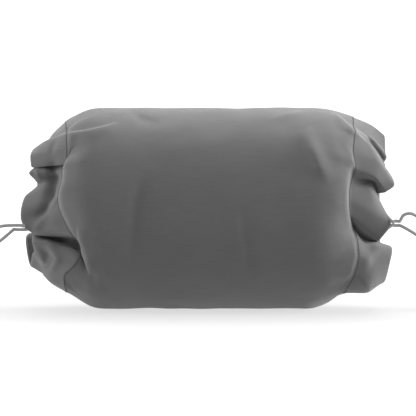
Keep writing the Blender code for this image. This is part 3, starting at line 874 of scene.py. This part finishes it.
def make_knot(side, materials):
    """The two strands bound by their own wraps, with two short tails."""
    sign = SIDES[side]
    start = KNOT.y - KNOT_HALF[1] - CLEARANCE / 2
    bend = KNOT_HALF[1] - 0.0030
    points, faces, uvs = [], [], []

    def add(route):
        rings, ring_faces, ring_uvs = tube(smooth_route(route, KNOT_SPACING), KNOT_CORD, 16)
        first = sum(len(p) for p in points)
        points.append(rings.reshape(-1, 3))
        faces.extend([first + k for k in face] for face in ring_faces)
        uvs.append(ring_uvs)

    for lean in (-1, 1):
        x = KNOT.x + lean * TAIL_HALF_SPREAD
        tail_x = KNOT.x + lean * 0.0034
        add(
            [
                (sign * x, start, KNOT.z),
                (sign * (KNOT.x + lean * 0.0016), KNOT.y - bend, KNOT.z),
                (sign * (KNOT.x + lean * 0.0015), KNOT.y + bend, KNOT.z - 0.0008),
                (sign * tail_x, KNOT.y + KNOT_HALF[1] + 0.0020, KNOT.z - 0.0022),
                (sign * (tail_x + lean * 0.0018), KNOT.y + 0.0158, KNOT.z - 0.0034),
            ]
        )
    wraps = []
    for i in range(round(KNOT_WRAPS * KNOT_WRAP_STEPS) + 1):
        t = 2 * math.pi * i / KNOT_WRAP_STEPS
        y = KNOT.y + (i / KNOT_WRAP_STEPS - KNOT_WRAPS / 2) * KNOT_WRAP_PITCH
        across, up = KNOT_WRAP_HALF[0] * math.cos(t), KNOT_WRAP_HALF[1] * math.sin(t)
        y += KNOT_WRAP_LEAN * math.sin(t)
        wraps.append((sign * (KNOT.x + across), y, KNOT.z + up))
    add(wraps)
    knot = mesh_object(f"{side}_end_knot", np.vstack(points), faces, np.vstack(uvs))
    knot.data.materials.append(materials["cord"])
    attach(knot, "bag")
    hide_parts(f"{side}_cord_knot")
    return knot


class Nodes:
    """Short calls to lay out a material's nodes."""

    def __init__(self, name):
        self.material = bpy.data.materials.new(name)
        self.material.use_nodes = True
        self.tree = self.material.node_tree
        self.shader = self.tree.nodes["Principled BSDF"]

    def add(self, kind, **inputs):
        node = self.tree.nodes.new(kind)
        for name, value in inputs.items():
            self.plug(node.inputs[name.replace("_", " ")], value)
        return node

    def plug(self, socket, value):
        if isinstance(value, bpy.types.NodeSocket):
            self.tree.links.new(value, socket)
        else:
            socket.default_value = value

    def maths(self, operation, *values):
        node = self.tree.nodes.new("ShaderNodeMath")
        node.operation = operation
        for socket, value in zip(node.inputs, values):
            self.plug(socket, value)
        return node.outputs[0]

    def vectors(self, operation, *values):
        node = self.tree.nodes.new("ShaderNodeVectorMath")
        node.operation = operation
        for socket, value in zip(node.inputs, values):
            self.plug(socket, value)
        return node

    def ramp(self, factor, low, high):
        node = self.tree.nodes.new("ShaderNodeMix")
        node.data_type = "RGBA"
        self.plug(node.inputs[0], factor)
        node.inputs[6].default_value = (*low, 1)
        node.inputs[7].default_value = (*high, 1)
        return node.outputs[2]

    def uv(self):
        return self.tree.nodes.new("ShaderNodeTexCoord").outputs["UV"]

    def place(self):
        return self.tree.nodes.new("ShaderNodeTexCoord").outputs["Object"]

    def noise(self, vector, scale, detail=2.0):
        node = self.add("ShaderNodeTexNoise", Vector=vector, Scale=scale, Detail=detail)
        return node.outputs["Fac"]

    def finish(self, colour, roughness, height, distance, strength=1.0, **fixed):
        bump = self.add("ShaderNodeBump", Height=height, Distance=distance, Strength=strength)
        self.plug(self.shader.inputs["Base Color"], colour)
        self.plug(self.shader.inputs["Roughness"], roughness)
        self.plug(self.shader.inputs["Normal"], bump.outputs["Normal"])
        for name, value in fixed.items():
            self.shader.inputs[name.replace("_", " ")].default_value = value
        return self.material


def woven(name, dark, light, pitch, depth, roughness, **fixed):
    """Plain weave: warp and weft threads over and under each other, a pitch apart."""
    n = Nodes(name)
    split = n.add("ShaderNodeSeparateXYZ", Vector=n.uv())
    u, v = (n.maths("MULTIPLY", split.outputs[k], math.pi / pitch) for k in (0, 1))
    warp = n.maths("ABSOLUTE", n.maths("SINE", u))
    weft = n.maths("ABSOLUTE", n.maths("SINE", v))
    half_u, half_v = (n.maths("MULTIPLY", axis, 0.5) for axis in (u, v))
    cross = n.maths("MULTIPLY", n.maths("SINE", half_u), n.maths("SINE", half_v))
    over = n.maths("GREATER_THAN", cross, 0.0)
    top = n.maths("MULTIPLY", warp, over)
    rest = n.maths("MULTIPLY", weft, n.maths("SUBTRACT", 1.0, over))
    weave = n.maths("ADD", top, rest)
    blotch = n.noise(n.place(), 18.0, 4.0)
    slub = n.noise(n.place(), 420.0, 2.0)
    # Thicker threads here and there, which run along the bag
    stretched = n.vectors("MULTIPLY", n.uv(), THICK_THREAD_STRETCH)
    thick = n.noise(stretched.outputs["Vector"], 420.0, 2.0)
    tone = n.maths("ADD", n.maths("MULTIPLY", blotch, 0.3), n.maths("MULTIPLY", slub, 0.2))
    tone = n.maths("ADD", tone, n.maths("MULTIPLY", thick, 0.4))
    tone = n.maths("ADD", tone, n.maths("MULTIPLY", weave, 0.1))
    colour = n.ramp(tone, dark, light)
    rough = n.maths("ADD", roughness - 0.05, n.maths("MULTIPLY", blotch, 0.1))
    height = n.maths("ADD", weave, n.maths("ADD", n.maths("MULTIPLY", slub, 0.6), thick))
    return n.finish(colour, rough, height, depth, **fixed)


def braid(name, dark, light):
    """Spun yarns of a cord's braid, running steeply round it."""
    n = Nodes(name)
    split = n.add("ShaderNodeSeparateXYZ", Vector=n.uv())
    along = n.maths("MULTIPLY", split.outputs[0], 2 * math.pi / 0.0005)
    round_it = n.maths("MULTIPLY", split.outputs[1], 2 * math.pi / 0.0007)
    yarn = n.maths("SINE", n.maths("ADD", along, round_it))
    fuzz = n.noise(n.place(), 900.0, 3.0)
    tone = n.maths("ADD", n.maths("MULTIPLY", yarn, 0.15), fuzz)
    colour = n.ramp(tone, dark, light)
    height = n.maths("ADD", n.maths("MULTIPLY", yarn, 0.5), fuzz)
    rough = n.maths("ADD", 0.72, n.maths("MULTIPLY", fuzz, 0.12))
    return n.finish(colour, rough, height, 0.0002, Sheen_Weight=0.25, Sheen_Roughness=0.5)


def spun_thread(name, dark, light):
    n = Nodes(name)
    split = n.add("ShaderNodeSeparateXYZ", Vector=n.uv())
    along = n.maths("MULTIPLY", split.outputs[0], 2 * math.pi / 0.0005)
    around = n.maths("MULTIPLY", split.outputs[1], 2 * math.pi / 0.00094)
    twist = n.maths("SINE", n.maths("ADD", along, around))
    tone = n.maths("ADD", 0.5, n.maths("MULTIPLY", twist, 0.4))
    rough = n.maths("ADD", 0.6, n.maths("MULTIPLY", twist, 0.05))
    return n.finish(n.ramp(tone, dark, light), rough, twist, 0.00008)


def moulded(name, dark, light):
    """Fine spark-eroded grain of a moulding, a little worn."""
    n = Nodes(name)
    grain = n.noise(n.place(), 2600.0, 3.0)
    wear = n.noise(n.place(), 160.0, 3.0)
    colour = n.ramp(n.maths("MULTIPLY", wear, grain), dark, light)
    rough = n.maths("ADD", 0.36, n.maths("MULTIPLY", wear, 0.2))
    return n.finish(colour, rough, grain, 0.00006)


def drawn_wire(name, dark, light):
    n = Nodes(name)
    scratch = n.noise(n.place(), 1800.0, 3.0)
    rough = n.maths("ADD", 0.24, n.maths("MULTIPLY", scratch, 0.18))
    return n.finish(n.ramp(scratch, dark, light), rough, scratch, 0.00003, Metallic=1.0)


def light_table(name, tone, near_glow_painted_shade, far_glow):
    """A floor that glows though it is no lamp: painted light, dimmer near the bag as a painted pale
    shade round it, and brighter further out; the glow keeps the object's own shadow pale.
    """
    n = Nodes(name)
    reach = n.vectors("LENGTH", n.place())
    span = dict(zip(("From_Min", "From_Max"), GLOW_SPAN), To_Min=near_glow_painted_shade, To_Max=far_glow)
    # Glow by distance from the middle: painted light, dimmed near the bag as painted shade
    glow = n.add("ShaderNodeMapRange", Value=reach.outputs["Value"], **span)
    n.plug(n.shader.inputs["Emission Strength"], glow.outputs["Result"])
    fleck = n.noise(n.place(), 6.0, 2.0)
    low, high = (tone * 0.95,) * 3, (tone,) * 3
    white = {"Emission_Color": (1, 1, 1, 1)}
    return n.finish(n.ramp(fleck, low, high), 0.9, fleck, 0.0001, **white)


def make_materials():
    cloth = {"Sheen_Weight": 0.30, "Sheen_Roughness": 0.45, "Specular_IOR_Level": 0.25}
    return {
        "cloth": woven("bag_cloth", (0.056,) * 3, (0.094,) * 3, 0.00045, 0.00012, 0.85, **cloth),
        "tape": woven("seam_tape", (0.06,) * 3, (0.09,) * 3, 0.0006, 0.0002, 0.8),
        "cord": braid("cord_braid", (0.19,) * 3, (0.30,) * 3),
        "thread": spun_thread("seam_thread", (0.018,) * 3, (0.040,) * 3),
        "plastic": moulded("lock_moulding", (0.018,) * 3, (0.050,) * 3),
        "steel": drawn_wire("spring_wire", (0.42, 0.42, 0.43), (0.58, 0.58, 0.59)),
        # The floor's glow is painted light: 0.66 near the bag, a painted pale shade round it, up to
        # 1.05 further out
        "floor": light_table("light_table", 0.10, 0.66, 1.05),
    }


def finish_lock(side, materials):
    for part in ("barrel", "plunger"):
        node = bpy.data.objects[f"{side}_lock_{part}"]
        node.data.materials.clear()
        node.data.materials.append(materials["plastic"])
    spring = bpy.data.objects[f"{side}_lock_spring"]
    spring.data.materials.clear()
    spring.data.materials.append(materials["steel"])


def make_camera():
    """A long lens, nearly level with the bag's middle."""
    elevation = math.radians(VIEW_ELEVATION)
    away = Vector((0, -math.cos(elevation), math.sin(elevation)))
    target = Vector(VIEW_TARGET)
    camera = bpy.data.cameras.new("camera")
    camera.sensor_width = 36
    camera.lens = camera.sensor_width * VIEW_DISTANCE / VIEW_WIDTH
    camera.clip_end = 20
    obj = bpy.data.objects.new("camera", camera)
    obj.location = target + VIEW_DISTANCE * away
    obj.rotation_euler = (-away).to_track_quat("-Z", "Y").to_euler()
    bpy.context.scene.collection.objects.link(obj)
    bpy.context.scene.camera = obj


def soft_light(name, place, size, power):
    light = bpy.data.lights.new(name, "AREA")
    light.shape = "DISK"
    light.size = size
    light.energy = power
    obj = bpy.data.objects.new(name, light)
    obj.location = place
    aim = Vector((0, 0, 0.1)) - Vector(place)
    obj.rotation_euler = aim.to_track_quat("-Z", "Y").to_euler()
    bpy.context.scene.collection.objects.link(obj)
    return obj


def make_studio(materials):
    floor = mesh_object(
        "floor",
        [(x * FLOOR_HALF, y * FLOOR_HALF, FLOOR_TOP) for x, y in ((-1, -1), (1, -1), (1, 1), (-1, 1))],
        [(0, 1, 2, 3)],
    )
    floor.data.materials.append(materials["floor"])
    world = bpy.data.worlds.new("studio")
    bpy.context.scene.world = world
    world.use_nodes = True
    background = world.node_tree.nodes["Background"]
    background.inputs["Color"].default_value = (1, 1, 1, 1)
    background.inputs["Strength"].default_value = WORLD_STRENGTH
    lights = [soft_light(*light) for light in LIGHTS]
    bpy.context.scene.view_settings.view_transform = "Standard"


def main():
    make_camera()
    materials = make_materials()
    strands = [
        (side, *make_strand(side, level, materials))
        for side in SIDES
        for level in ("upper", "lower")
    ]
    grid = folded_grid(FINER)
    grid = grid + finer_grid(settle_as_cloth(folded_grid(1)))
    grid = shaped(grid)
    make_body(grid, materials)
    for side in SIDES:
        centre = make_hem(grid, side, materials)
        make_channel_cord(side, centre, materials)
        make_stitches(grid, side, materials)
        finish_lock(side, materials)
    make_seam_tape(grid, materials)
    knots = {side: make_knot(side, materials) for side in SIDES}
    make_studio(materials)


main()
